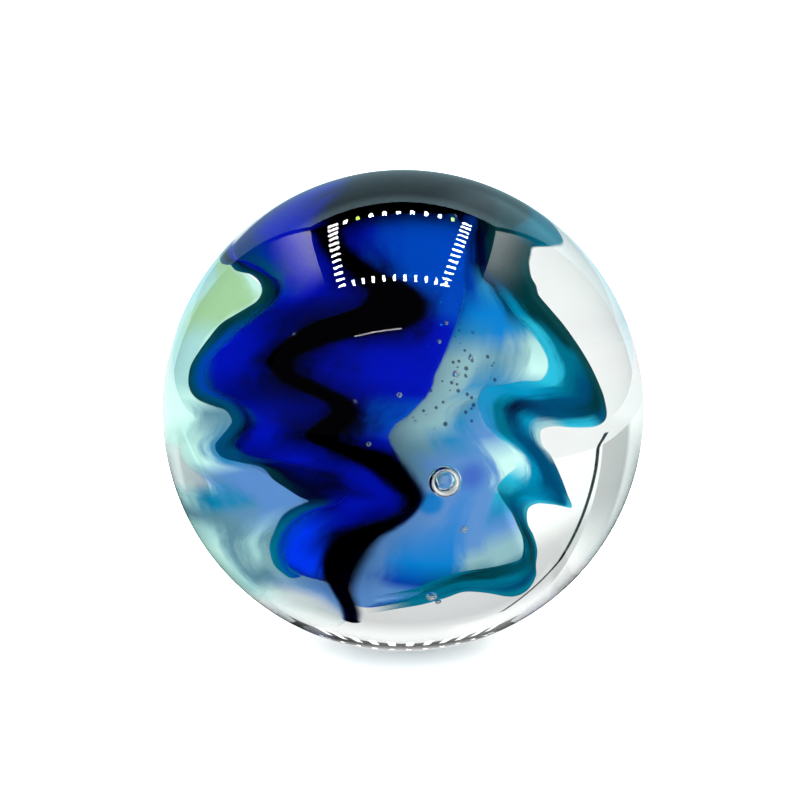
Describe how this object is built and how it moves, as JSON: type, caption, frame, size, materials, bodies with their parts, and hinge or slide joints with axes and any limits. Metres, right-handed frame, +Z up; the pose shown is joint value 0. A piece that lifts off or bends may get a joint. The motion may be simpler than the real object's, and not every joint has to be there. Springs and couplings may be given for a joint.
{
  "type": "glass marble",
  "caption": "Round glass marble: layers of coloured glass raked into zigzags from pole to pole on the core, under a thick casing of clear glass with small air bubbles.",
  "frame": {"origin": "centre of the ball", "axes": "+Z up along the axis from pole to pole that the coloured stripes run between; the front with the broad cobalt panel faces -Y"},
  "size_m": [0.025, 0.025, 0.025],
  "materials": {
    "clear": "clear polished glass",
    "cobalt": "cobalt blue glass, full at the middle and darker to the edges",
    "black": "black glass that thins to deep blue at its edges",
    "fringe": "dark teal glass",
    "teal": "teal glass with darker green streaks",
    "sky": "thin sky-blue to periwinkle glass",
    "aqua": "thin aqua to pale green glass"
  },
  "bodies": {
    "root": {"clear_glass": "clear", "cobalt_panel": "cobalt", "black_zigzag": "black", "teal_fringe": "fringe", "teal_ribbon": "teal", "sky_veil": "sky", "aqua_veil": "aqua"}
  },
  "joints": []
}
